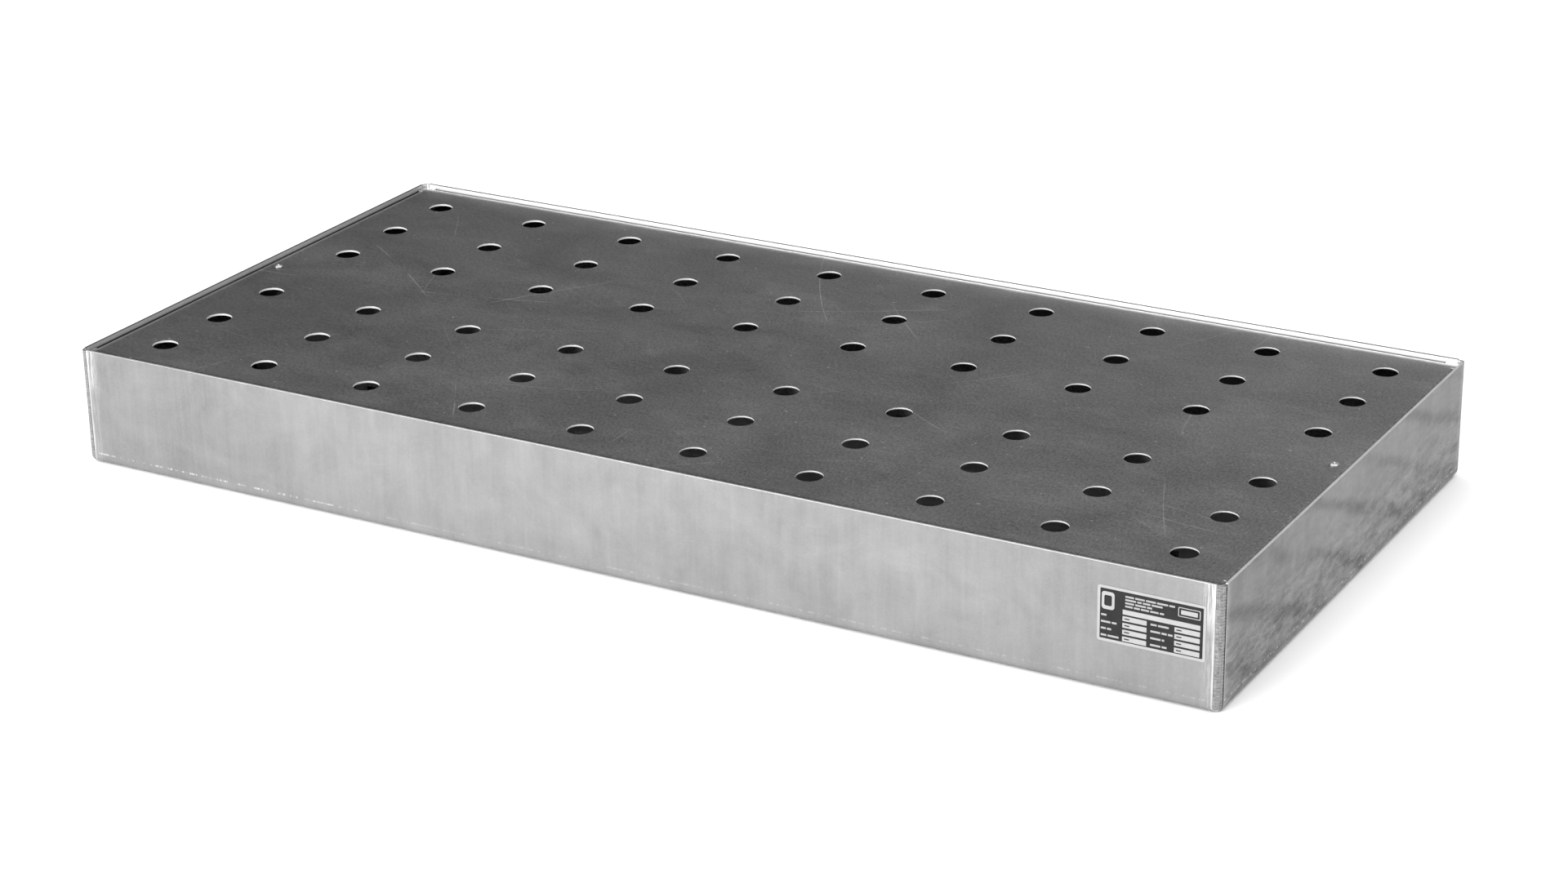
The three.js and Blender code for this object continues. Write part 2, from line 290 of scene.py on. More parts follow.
def ground_marks_and_highlight(tree, point, z):
    """Brushed marks of the grinder, with a painted highlight that grows stronger towards the rim."""
    brushed = clouds(tree, point, (1.8 * MM, 1.8 * MM, 26 * MM), 3.0, 0.7)
    high_up = ramp(tree, z, 58 * MM, 82 * MM, 0.35, 1.1)
    return times(tree, ramp(tree, brushed, 0.36, 0.62), high_up)


def inside_tray(tree, off_x, off_y):
    """1 on the tray's inner faces, 0 on its outer ones."""
    nearer, further = 0.7 * SHEET, 0.3 * SHEET
    inside_x = ramp(tree, off_x, TRAY_HIGH.x - nearer, TRAY_HIGH.x - further, 1.0, 0.0)
    inside_y = ramp(tree, off_y, TRAY_HIGH.y - nearer, TRAY_HIGH.y - further, 1.0, 0.0)
    return times(tree, inside_x, inside_y)


def gap_light_and_shade(tree, z, end_wall):
    """Painted light just under the rim: a painted highlight of light bounced off the deck onto the inner
    walls, over a line of painted shade in the gap at the ends.
    """
    under_rim = ramp(tree, z, TRAY_HIGH.z - 4.6 * MM, TRAY_HIGH.z - 3.2 * MM)
    bounce_highlight = times(tree, under_rim, ramp(tree, end_wall, 0.0, 1.0, 0.62, 0.3))
    gap_shade = times(tree, stripe(tree, z, TRAY_HIGH.z - 7 * MM, 8 * MM), end_wall)
    return total(tree, bounce_highlight, times(tree, gap_shade, -0.13))


def end_wall_shade_and_blotches(tree, point, x, y, z, off_y, outside, near_weld, blotches):
    """Painted shade that makes the end walls darker; they are also darker towards their front and back
    ends, carry painted reflection bands, blotches and painted glints, strongest on the right one, and a
    painted highlight beside the welds.
    """
    right_end = times(tree, ramp(tree, x, -0.1, 0.1, 0.3, 1.0), outside)
    spread = times(tree, ramp(tree, z, 15 * MM, 85 * MM, 0.12, 0.03), right_end)
    glints = ramp(tree, clouds(tree, point, (2.5 * MM, 5 * MM, 1.6 * MM), 3.0, 0.75), 0.6, 0.7)
    return total(
        tree,
        # painted shade: the end walls darker all over
        -0.078,
        ramp(tree, off_y, 50 * MM, 190 * MM, 0.0, -0.024),
        # painted reflection bands on the end walls, strongest on the right one
        times(tree, painted_reflection_bands(tree, point, y, z), right_end, -0.075),
        times(tree, around_half(tree, blotches, 1.0), spread),
        # painted glints, strongest low on the right end wall
        times(tree, glints, spread, 1.3),
        # painted highlight beside the welds
        times(tree, near_weld, 0.07),
    )


def tray_zinc():
    """Pale galvanised sheet: fine rolling streaks, soft clouds, faint scuffs along the bottom bend.

    The end walls are darker than the long ones by painted shade and carry painted reflections, painted
    glints and more blotches. The metal beside the welds is ground and carries a painted highlight, with a
    narrow painted highlight line at its toe.
    A painted highlight of light bounced off the deck lies on the walls just inside the rim, most on the
    long ones, and painted light lifts the tray's floor under the deck.
    """
    material, tree = new_material("tray_zinc")
    point = surface_point(tree)
    x, y, z = coordinates(tree, point)
    face_x, face_y, face_z = coordinates(tree, surface_direction(tree))
    off_x, off_y = size_of(tree, x), size_of(tree, y)
    end_wall = ramp(tree, size_of(tree, face_x), 0.5, 0.9)
    long_wall = ramp(tree, size_of(tree, face_y), 0.5, 0.9)
    inside = inside_tray(tree, off_x, off_y)
    floor_painted_light = times(tree, ramp(tree, face_z, 0.5, 0.9), inside)
    streaks = clouds(tree, point, (2.6 * MM, 2.6 * MM, 60 * MM), 4.0, 0.65)
    wide_streaks = clouds(tree, point, (26 * MM, 26 * MM, 120 * MM), 2.0)
    runs = clouds(tree, point, (9 * MM, 9 * MM, 55 * MM), 3.0, 0.6, 0.4)
    cloudy = clouds(tree, point, (60 * MM, 60 * MM, 50 * MM), 5.0, 0.66, 0.8)
    blotches = clouds(tree, point, (9 * MM, 18 * MM, 5.5 * MM), 4.0, 0.65, 0.5)
    speck = clouds(tree, point, (1.1 * MM, 1.1 * MM, 1.1 * MM), 2.0)
    spots = ramp(tree, clouds(tree, point, (1.7 * MM, 1.7 * MM, 1.7 * MM), 1.0), 0.72, 0.77)
    scuffs = low_scuffs(tree, point, x, z, end_wall)
    near_weld = beside_welds(tree, off_x, off_y)
    # painted highlight beside the welds, carried on the grinder's brushed marks
    ground_and_highlight = times(tree, near_weld, ground_marks_and_highlight(tree, point, z))
    # painted highlight: a narrow bright line on the long walls beside the welds
    toe_highlight = stripe(tree, off_x, TRAY_HIGH.x - TRAY_BEND - 0.8 * MM, 2.6 * MM)
    end_shade_and_blotches = end_wall_shade_and_blotches(
        tree, point, x, y, z, off_y, rest_of(tree, inside), near_weld, blotches
    )
    grey = total(
        tree,
        0.25,
        around_half(tree, streaks, 0.012),
        around_half(tree, runs, 0.014),
        around_half(tree, wide_streaks, 0.012),
        around_half(tree, cloudy, 0.032),
        ramp(tree, x, TRAY_LOW.x, -0.15, -0.035, 0.0),
        around_half(tree, blotches, 0.008),
        around_half(tree, speck, 0.016),
        times(tree, scuffs, 0.3),
        times(tree, ground_and_highlight, long_wall, 0.3),
        times(tree, toe_highlight, long_wall, 0.2),
        # painted bounce light just under the rim, and painted shade in the gap at the end walls
        times(tree, inside, gap_light_and_shade(tree, z, end_wall)),
        # painted light: the tray's floor under the deck is lifted so that the holes read grey
        times(tree, floor_painted_light, 0.4),
        times(tree, spots, 0.06),
        # painted shade, painted reflections and painted glints on the end walls, with their blotches
        times(tree, end_wall, end_shade_and_blotches),
    )
    roughness = total(
        tree,
        0.4,
        around_half(tree, cloudy, 0.04),
        around_half(tree, streaks, 0.04),
        around_half(tree, blotches, 0.03),
    )
    height = total(
        tree,
        times(tree, wide_streaks, 0.07 * MM),
        times(tree, runs, 0.03 * MM),
        times(tree, streaks, 0.006 * MM),
        times(tree, speck, 0.006 * MM),
        times(tree, cloudy, 0.1 * MM),
        times(tree, scuffs, 0.02 * MM),
    )
    return finish_metal(material, grey, roughness, height, 0.5)


def fold_light_and_shade(tree, x, y):
    """Painted reflections on the back and left folds, and a painted shadow of the tray's rim along the
    front one.
    """
    return total(
        tree,
        ramp(tree, y, DECK_HIGH.y - 11 * MM, DECK_HIGH.y - 5 * MM, 0.0, 0.32),
        ramp(tree, y, DECK_HIGH.y - 40 * MM, DECK_HIGH.y - 6 * MM, 0.0, 0.05),
        ramp(tree, x, DECK_LOW.x + 4 * MM, DECK_LOW.x + 8 * MM, 0.18, 0.0),
        ramp(tree, y, DECK_LOW.y + 5 * MM, DECK_LOW.y + 11 * MM, -0.08, 0.0),
    )


def deck_zinc():
    """Darker, smoother galvanised sheet with a fine grain, faint scratches, smudges and nicks.

    Painted reflections brighten its back and left folds, and a painted shadow of the tray's rim lies
    along the front one.
    """
    material, tree = new_material("deck_zinc")
    point = surface_point(tree)
    x, y, z = coordinates(tree, point)
    smudges = clouds(tree, point, (110 * MM, 80 * MM, 80 * MM), 4.0, 0.6, 0.6)
    patches = ramp(tree, clouds(tree, point, (30 * MM, 22 * MM, 22 * MM), 2.0, 0.5), 0.54, 0.74)
    grain = clouds(tree, point, (40 * MM, 1.2 * MM, 1.2 * MM), 3.0, 0.6)
    speck = clouds(tree, point, (1.7 * MM, 3.4 * MM, 1.7 * MM), 4.0, 0.75)
    nicks = ramp(tree, clouds(tree, point, (3.4 * MM, 2.0 * MM, 2.0 * MM), 0.0), 0.86, 0.9)
    on_top = ramp(tree, z, DECK_HIGH.z - 2.5 * MM, DECK_HIGH.z - 1 * MM)
    scratches = times(tree, arc_scratches(tree, x, y, point), on_top)
    # painted reflections on the back and left folds, painted shadow along the front one
    painted_folds = times(tree, fold_light_and_shade(tree, x, y), on_top)
    grey = total(
        tree,
        0.147,
        around_half(tree, smudges, 0.022),
        times(tree, patches, 0.02),
        around_half(tree, grain, 0.01),
        around_half(tree, speck, 0.09),
        times(tree, nicks, 0.3),
        times(tree, scratches, 0.2),
        painted_folds,
    )
    roughness = total(
        tree,
        0.34,
        around_half(tree, smudges, 0.05),
        around_half(tree, speck, 0.04),
        times(tree, scratches, 0.12),
    )
    height = total(
        tree,
        times(tree, smudges, 0.2 * MM),
        times(tree, grain, 0.006 * MM),
        times(tree, speck, 0.006 * MM),
        times(tree, scratches, -0.01 * MM),
    )
    return finish_metal(material, grey, roughness, height, 0.92)


def cut_metal(name, base, metallic, shade):
    """Cut metal with fine lines; shade(tree, x, y, z) gives the share of its grey that is lost to painted
    shade.
    """
    material, tree = new_material(name)
    point = surface_point(tree)
    lines = clouds(tree, point, (0.8 * MM, 0.8 * MM, 0.8 * MM), 2.0, 0.7)
    tarnish = clouds(tree, point, (12 * MM, 12 * MM, 12 * MM), 3.0)
    tone = total(tree, base, around_half(tree, lines, 0.05), around_half(tree, tarnish, 0.05))
    grey = times(tree, tone, rest_of(tree, shade(tree, *coordinates(tree, point))))
    roughness = total(tree, 0.36, around_half(tree, lines, 0.06))
    return finish_metal(material, grey, roughness, times(tree, lines, 0.02 * MM), metallic)


def sheared_edge():
    """Sheared metal on the rims and ends of the sheets, with painted shade along the back and left rims.
    """

    # painted shade: the back and left rims darker than the front and right ones
    def far_rims_shade(tree, x, y, z):
        back_rim = ramp(tree, y, TRAY_HIGH.y - 1.4 * SHEET, TRAY_HIGH.y - SHEET)
        left_rim = ramp(tree, x, TRAY_LOW.x + SHEET, TRAY_LOW.x + 1.4 * SHEET, 1.0, 0.0)
        return times(tree, number(tree, "MAXIMUM", back_rim, left_rim), 0.8)

    return cut_metal("sheared_edge", 0.46, 0.7, far_rims_shade)


def punched_edge():
    """Hole walls: cut bright above; below, a dull torn zone that is also painted shade, growing towards
    the right.
    """

    # the hole walls' lower part: a torn zone darkened as painted shade, more towards the right
    def torn_and_shaded(tree, x, y, z):
        low = ramp(tree, z, DECK_HIGH.z - 1.5 * MM, DECK_HIGH.z - 1.0 * MM, 1.0, 0.0)
        return times(tree, low, ramp(tree, x, -0.45, 0.1, 0.0, 0.95))

    return cut_metal("punched_edge", 0.95, 0.25, torn_and_shaded)


def support_zinc():
    """Satin galvanised sheet of the hidden channel."""
    material, tree = new_material("support_zinc")
    point = surface_point(tree)
    cloudy = clouds(tree, point, (50 * MM, 50 * MM, 50 * MM), 4.0, 0.6, 0.8)
    grain = clouds(tree, point, (60 * MM, 1.5 * MM, 1.5 * MM), 3.0, 0.6)
    grey = total(tree, 0.45, around_half(tree, cloudy, 0.05), around_half(tree, grain, 0.02))
    roughness = total(tree, 0.42, around_half(tree, cloudy, 0.05))
    height = total(
        tree, times(tree, cloudy, 0.2 * MM), times(tree, grain, 0.008 * MM)
    )
    return finish_metal(material, grey, roughness, height, 0.85)


def weld_metal():
    """Brushed bead, dark along its outer toe on the front and bright on its inner side."""
    material, tree = new_material("weld_metal")
    point = surface_point(tree)
    x, y, z = coordinates(tree, point)
    mottle = clouds(tree, point, (3 * MM, 3 * MM, 2 * MM), 4.0, 0.7)
    brushed = clouds(tree, point, (0.7 * MM, 0.7 * MM, 12 * MM), 2.0, 0.6)
    from_x = number(tree, "SUBTRACT", size_of(tree, x), TRAY_HIGH.x - TRAY_BEND)
    from_y = number(tree, "SUBTRACT", size_of(tree, y), TRAY_HIGH.y - TRAY_BEND)
    bore = TRAY_BEND - SHEET
    inner = ramp(tree, distance(tree, from_x, from_y), bore + 0.3 * MM, bore + 0.9 * MM, 1.0, 0.0)
    on_front = ramp(tree, y, -0.1, 0.1, 1.0, 0.0)
    toe = times(tree, stripe(tree, from_y, 1.2 * MM, 3.4 * MM), on_front)
    upwards = number(tree, "DIVIDE", z, RIPPLE_PITCH / FULL_TURN)
    ripples = number(tree, "SINE", total(tree, upwards, times(tree, mottle, 14.0)))
    grey = total(
        tree,
        0.25,
        times(tree, ripples, 0.03),
        around_half(tree, mottle, 0.1),
        around_half(tree, brushed, 0.07),
        times(tree, toe, -0.27),
        times(tree, inner, 0.55),
    )
    roughness = total(tree, 0.36, around_half(tree, mottle, 0.08))
    height = total(
        tree, times(tree, mottle, 0.12 * MM), times(tree, brushed, 0.02 * MM)
    )
    return finish_metal(material, grey, roughness, height, 0.85)


def rivet_metal(name, base, rough):
    """Turned aluminium or steel with fine marks."""
    material, tree = new_material(name)
    point = surface_point(tree)
    marks = clouds(tree, point, (0.5 * MM, 0.5 * MM, 0.15 * MM), 2.0, 0.6)
    worn = clouds(tree, point, (2 * MM, 2 * MM, 2 * MM), 3.0)
    grey = total(tree, base, around_half(tree, marks, 0.03), around_half(tree, worn, 0.05))
    roughness = total(tree, rough, around_half(tree, worn, 0.05))
    return finish_metal(material, grey, roughness, times(tree, marks, 0.02 * MM), 0.95)


def print_ink(name, base, spread):
    """Printed film: satin, with faint mottling and rubbed spots."""
    material, tree = new_material(name)
    point = surface_point(tree)
    mottle = clouds(tree, point, (6 * MM, 6 * MM, 6 * MM), 3.0, 0.6)
    rubbed = clouds(tree, point, (0.6 * MM, 0.6 * MM, 0.6 * MM), 2.0)
    grey = total(tree, base, around_half(tree, mottle, spread), around_half(tree, rubbed, spread / 2))
    roughness = total(tree, 0.45, around_half(tree, mottle, 0.06))
    tree.nodes["Principled BSDF"].inputs["Specular IOR Level"].default_value = 0.25
    return finish_metal(material, grey, roughness, times(tree, rubbed, 0.01 * MM), 0.0)


# ---------------------------------------------------------------- flat outlines


def circle(middle, radius, steps):
    """A round hole as (point, direction away from the sheet's metal), clockwise round the hole."""
    loop = []
    for step in range(steps):
        angle = -FULL_TURN * step / steps
        out = Vector((math.cos(angle), math.sin(angle)))
        loop.append((Vector(middle) + radius * out, -out))
    return loop


def rounded(corners, radius, steps=CORNER_STEPS):
    """A polygon, anticlockwise, with rounded corners, as (point, outward direction) pairs.

    A corner is a pair of coordinates, or has a radius of its own as a third number.
    """
    loop = []
    count = len(corners)
    for k, corner in enumerate(corners):
        here = Vector(corner[:2])
        size = corner[2] if len(corner) > 2 else radius
        into = (here - Vector(corners[k - 1][:2])).normalized()
        away = (Vector(corners[(k + 1) % count][:2]) - here).normalized()
        turn = into.x * away.y - into.y * away.x
        middle = here - size * into + size * away
        side = 1 if turn > 0 else -1
        first = Vector((into.y, -into.x)) * side
        last = Vector((away.y, -away.x)) * side
        for step in range(steps + 1):
            angle = RIGHT_ANGLE * step / steps
            out = math.cos(angle) * first + math.sin(angle) * last
            loop.append((middle + size * out, out * side))
    return loop


def notched_side(start, end, notches, across):
    """Corners of one straight edge from start to end with drain notches cut into it.

    across(along, inwards) places a corner.
    """
    corners = [across(start, 0)]
    way = 1 if end > start else -1
    for middle in sorted(notches, reverse=way < 0):
        near, far = middle - way * NOTCH_LENGTH / 2, middle + way * NOTCH_LENGTH / 2
        corners += [across(near, 0), across(near, NOTCH_DEPTH)]
        corners += [across(far, NOTCH_DEPTH), across(far, 0)]
    return corners + [across(end, 0)]


# ---------------------------------------------------------------- folded sheets


FOLD_SLACK = 0.3 * MM
SAME_POINT = 1e-7


class Fold:
    """A bend of a flat sheet along one side.

    axis is 0 or 1 for the side's direction and sign its end; tangent is where the bend starts,
    radius that of the sheet's middle, up whether the side rises, and reach how far along the
    other axis the bend runs.
    """

    def __init__(self, axis, sign, tangent, radius, up, reach):
        self.axis, self.sign, self.tangent = axis, sign, tangent
        self.radius, self.up, self.reach = radius, up, reach

    def holds(self, point):
        far = self.sign * point[self.axis] > self.tangent
        return far and abs(point[1 - self.axis]) <= self.reach + FOLD_SLACK

    def lines(self):
        arc = self.radius * RIGHT_ANGLE
        return [self.tangent + arc * step / BEND_STEPS for step in range(BEND_STEPS + 1)]

    def bend(self, point, normal):
        """Moves a point of the flat sheet, and its normal, to the folded place."""
        past = self.sign * point[self.axis] - self.tangent
        angle = min(past / self.radius, RIGHT_ANGLE)
        beyond = max(0.0, past - self.radius * RIGHT_ANGLE)
        rise = 1 if self.up else -1
        radius = self.radius - rise * point.z
        moved, turned = point.copy(), normal.copy()
        moved[self.axis] = self.sign * (self.tangent + radius * math.sin(angle))
        moved.z = rise * (self.radius - radius * math.cos(angle) + beyond)
        along, height = self.sign * normal[self.axis], rise * normal.z
        turned[self.axis] = self.sign * (along * math.cos(angle) - height * math.sin(angle))
        turned.z = rise * (along * math.sin(angle) + height * math.cos(angle))
        return moved, turned


def edge_rings(edge):
    """(inset, height, tilt) of the rings round a cut edge, from the upper face to the lower one."""
    half = SHEET / 2
    upper = []
    for step in range(EDGE_STEPS + 1):
        tilt = RIGHT_ANGLE * (1 - step / EDGE_STEPS)
        upper.append((edge * (1 - math.cos(tilt)), half - edge * (1 - math.sin(tilt)), tilt))
    return upper + [(inset, -height, -tilt) for inset, height, tilt in reversed(upper)]


def flat_sheet(loops):
    """A bmesh of a flat sheet from [(loop, edge radius, edge material)], with a normal on each vertex."""
    bm = bmesh.new()
    normals = bm.verts.layers.float_vector.new("flat_normal")
    caps = []
    for loop, edge, bare in loops:
        rings = []
        for inset, height, tilt in edge_rings(edge):
            ring = []
            for point, out in loop:
                at = point - inset * out
                vertex = bm.verts.new((at.x, at.y, height))
                sideways = math.cos(tilt) * out
                vertex[normals] = (sideways.x, sideways.y, math.sin(tilt))
                ring.append(vertex)
            rings.append(ring)
        for step, (upper, lower) in enumerate(zip(rings, rings[1:])):
            rolled = bare == PUNCHED and step != EDGE_STEPS
            for k in range(len(upper)):
                face = bm.faces.new((upper[k - 1], lower[k - 1], lower[k], upper[k]))
                face.material_index = 0 if rolled else bare
        caps.append((rings[0], rings[-1]))
    tops = [[v.co.copy() for v in top] for top, _ in caps]
    uppers = [v for top, _ in caps for v in top]
    lowers = [v for _, bottom in caps for v in bottom]
    for a, b, c in tessellate_polygon(tops):
        across = (uppers[b].co - uppers[a].co).cross(uppers[c].co - uppers[a].co)
        if across.z < 0:
            b, c = c, b
        bm.faces.new((uppers[a], uppers[b], uppers[c]))
        bm.faces.new((lowers[a], lowers[c], lowers[b]))
    return bm, normals


def folded_sheet(name, loops, folds, height, materials):
    """Draws a flat sheet, cuts it across its bends, folds it and lifts its middle to a height."""
    bm, normals = flat_sheet(loops)
    for fold in folds:
        direction = Vector((0, 0, 0))
        direction[fold.axis] = fold.sign
        for line in fold.lines():
            bmesh.ops.bisect_plane(
                bm,
                geom=list(bm.verts) + list(bm.edges) + list(bm.faces),
                dist=SAME_POINT,
                plane_co=direction * line,
                plane_no=direction,
            )
    final = []
    for vertex in bm.verts:
        point, normal = vertex.co.copy(), Vector(vertex[normals]).normalized()
        for fold in folds:
            if fold.holds(point):
                point, normal = fold.bend(point, normal)
                break
        vertex.co = point + Vector((0, 0, height))
        final.append(normal)
    return made_of(name, bm, materials, final)


def made_of(name, bm, materials, normals=None, sharp=math.radians(40)):
    """Turns a bmesh into an object with smooth shading, by given normals or by angle."""
    mesh = bpy.data.meshes.new(name)
    bm.to_mesh(mesh)
    bm.free()
    mesh.shade_smooth()
    if normals:
        mesh.normals_split_custom_set_from_vertices(normals)
    else:
        mesh.set_sharp_from_angle(angle=sharp)
    for material in materials:
        mesh.materials.append(material)
    made = bpy.data.objects.new(name, mesh)
    bpy.context.collection.objects.link(made)
    return made


def flat_side(bend, straight):
    """Flat length of a bend, given by its outer radius, and the straight side after it."""
    return (bend - SHEET / 2) * RIGHT_ANGLE + straight


def folds_of(end, side, bend, up, reach_end, reach_side):
    """The four bends of a tray or a deck, from where they start and how far along they run."""
    radius = bend - SHEET / 2
    folds = [Fold(0, sign, end, radius, up, reach_side) for sign in (-1, 1)]
    return folds + [Fold(1, sign, side, radius, up, reach_end) for sign in (-1, 1)]


def rivet_holes():
    """The holes for the two blind rivets."""
    loops = []
    for rivet in ("rivet_body_left", "rivet_body_right"):
        middle = sum(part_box(rivet), Vector()) / 2
        hole = circle(middle.xy, RIVET_HOLE_RADIUS, RIVET_HOLE_STEPS)
        loops.append((hole, CUT_EDGE_RADIUS, SHEARED))
    return loops


# ---------------------------------------------------------------- the pieces


def tray_pan(materials):
    """A cross cut from sheet: the floor and four walls, folded up along its bottom edges."""
    end, side = TRAY_HIGH.x - TRAY_BEND, TRAY_HIGH.y - TRAY_BEND
    wall = flat_side(TRAY_BEND, TRAY_HIGH.z - TRAY_BEND)
    corners = [
        (-end, -side - wall),
        (end, -side - wall),
        (end, -side),
        (end + wall, -side),
        (end + wall, side),
        (end, side),
        (end, side + wall),
        (-end, side + wall),
        (-end, side),
        (-end - wall, side),
        (-end - wall, -side),
        (-end, -side),
    ]
    folds = folds_of(end, side, TRAY_BEND, True, end, side)
    loops = [(rounded(corners, BLANK_CORNER_RADIUS), CUT_EDGE_RADIUS, SHEARED)]
    return folded_sheet("tray_sheet_metal", loops, folds, SHEET / 2, materials)


def deck_corner(end, side, sign_x, sign_y):
    """The flat tab at one corner of the deck, with a slit on each side of it."""
    tab_end, tab_side = FOLD_END + TAB_SLIT, FOLD_SIDE + TAB_SLIT
    tab = [
        (FOLD_END * sign_x, side * sign_y, SLIT_RADIUS),
        (tab_end * sign_x, side * sign_y, SLIT_RADIUS),
        (tab_end * sign_x, DECK_HIGH.y * sign_y),
        (DECK_HIGH.x * sign_x, DECK_HIGH.y * sign_y, TAB_RADIUS),
        (DECK_HIGH.x * sign_x, tab_side * sign_y),
        (end * sign_x, tab_side * sign_y, SLIT_RADIUS),
        (end * sign_x, FOLD_SIDE * sign_y, SLIT_RADIUS),
    ]
    return tab if sign_x != sign_y else tab[::-1]


def deck_outline(end, side, leg):
    """The deck's outline: notched legs beyond the bends, and a flat tab at each corner."""

    def long_side(start, stop, sign):
        return notched_side(
            start, stop, LONG_SIDE_NOTCHES, lambda at, inwards: (at, sign * (side + leg - inwards))
        )

    def short_side(start, stop, sign):
        return notched_side(
            start, stop, SHORT_SIDE_NOTCHES, lambda at, inwards: (sign * (end + leg - inwards), at)
        )

    return (
        long_side(-FOLD_END, FOLD_END, -1)
        + deck_corner(end, side, 1, -1)
        + short_side(-FOLD_SIDE, FOLD_SIDE, 1)
        + deck_corner(end, side, 1, 1)
        + long_side(FOLD_END, -FOLD_END, 1)
        + deck_corner(end, side, -1, 1)
        + short_side(FOLD_SIDE, -FOLD_SIDE, -1)
        + deck_corner(end, side, -1, -1)
    )


def perforated_deck(materials):
    """The drop-in deck: 60 punched holes, a leg folded down on each side, flat corner tabs."""
    leg_end = TRAY_HIGH.x - SHEET - DECK_GAP
    leg_side = TRAY_HIGH.y - SHEET - DECK_GAP
    end, side = leg_end - DECK_BEND, leg_side - DECK_BEND
    leg = flat_side(DECK_BEND, DECK_HIGH.z - DECK_BEND - DECK_LOW.z)
    corners = deck_outline(end, side, leg)
    loops = [(rounded(corners, CORNER_RADIUS), CUT_EDGE_RADIUS, SHEARED)]
    for column in range(HOLE_COLUMNS):
        x = (column - (HOLE_COLUMNS - 1) / 2) * HOLE_PITCH
        for row in HOLE_ROWS:
            for y in (-row, row):
                loops.append((circle((x, y), HOLE_RADIUS, HOLE_STEPS), HOLE_LIP_RADIUS, PUNCHED))
    loops += rivet_holes()
    folds = folds_of(end, side, DECK_BEND, False, FOLD_END, FOLD_SIDE)
    return folded_sheet("deck_sheet_metal", loops, folds, DECK_HIGH.z - SHEET / 2, materials)


def centre_support(materials):
    """The inverted channel under the deck's plain strip, with drain notches."""
    side = SUPPORT_HIGH.y - SUPPORT_BEND
    leg = flat_side(SUPPORT_BEND, SUPPORT_HIGH.z - SUPPORT_BEND - SUPPORT_LOW.z)
    end = SUPPORT_HIGH.x
    front = notched_side(-end, end, SUPPORT_NOTCHES, lambda at, inwards: (at, inwards - side - leg))
    back = notched_side(end, -end, SUPPORT_NOTCHES, lambda at, inwards: (at, side + leg - inwards))
    loops = [(rounded(front + back, CORNER_RADIUS), CUT_EDGE_RADIUS, SHEARED)] + rivet_holes()
    radius = SUPPORT_BEND - SHEET / 2
    folds = [Fold(1, sign, side, radius, False, end) for sign in (-1, 1)]
    return folded_sheet("support_channel", loops, folds, SUPPORT_HIGH.z - SHEET / 2, materials)


WELD_MARGIN = 0.02 * MM
WELD_COLUMNS = 14
WELD_END_ROWS = 10
WELD_ROW, SHORTEST_ROW = 0.45 * MM, 0.4 * MM
# A bead's uneven height, and the lengths over which its height and its ripples wander
WELD_SWELL = 0.25
SWELL_LENGTH = 4 * MM
WANDER_LENGTH = 9 * MM


def bead_rows(low, top):
    """(share of the full radius, height) up a bead, with a rounded lower end."""
    rows = []
    for step in range(1, WELD_END_ROWS + 1):
        tilt = RIGHT_ANGLE * step / WELD_END_ROWS
        rows.append((math.sin(tilt), TRAY_BEND * (1 - math.cos(tilt)) + low * math.cos(tilt)))
    height = TRAY_BEND
    while height < top - SHORTEST_ROW:
        height += WELD_ROW
        rows.append((1.0, min(height, top)))
    return rows


def bead_bulge(z, turn, seed, ripple):
    """How far a rippled bead stands out at a height and a share of its turn, between 0 and 1."""
    wander = noise.noise(Vector((seed, z / WANDER_LENGTH, turn)))
    phase = z / RIPPLE_PITCH + 0.9 * (turn - 0.5) ** 2 * 4 + 0.6 * wander
    wave = 0.5 + 0.5 * math.sin(FULL_TURN * phase)
    swell = noise.noise(Vector((z / SWELL_LENGTH, turn * 2, seed)))
    return math.sin(HALF_TURN * turn) * (1 - ripple * (1 - wave) - WELD_SWELL * abs(swell))


def closed_shell(bm, outer, inner):
    """Joins two grids of vertices of the same shape into one closed body."""
    last_row, last_column = len(outer) - 1, len(outer[0]) - 1
    for grid in (outer, inner):
        for row in range(last_row):
            for column in range(last_column):
                a, b = grid[row][column], grid[row][column + 1]
                c, d = grid[row + 1][column + 1], grid[row + 1][column]
                bm.faces.new((a, b, c, d))
    for row in range(last_row):
        for column in (0, last_column):
            a, b = outer[row][column], inner[row][column]
            c, d = inner[row + 1][column], outer[row + 1][column]
            bm.faces.new((a, b, c, d))
    for row in (0, last_row):
        for column in range(last_column):
            a, b = outer[row][column], outer[row][column + 1]
            c, d = inner[row][column + 1], inner[row][column]
            bm.faces.new((a, b, c, d))
    bmesh.ops.recalc_face_normals(bm, faces=bm.faces)


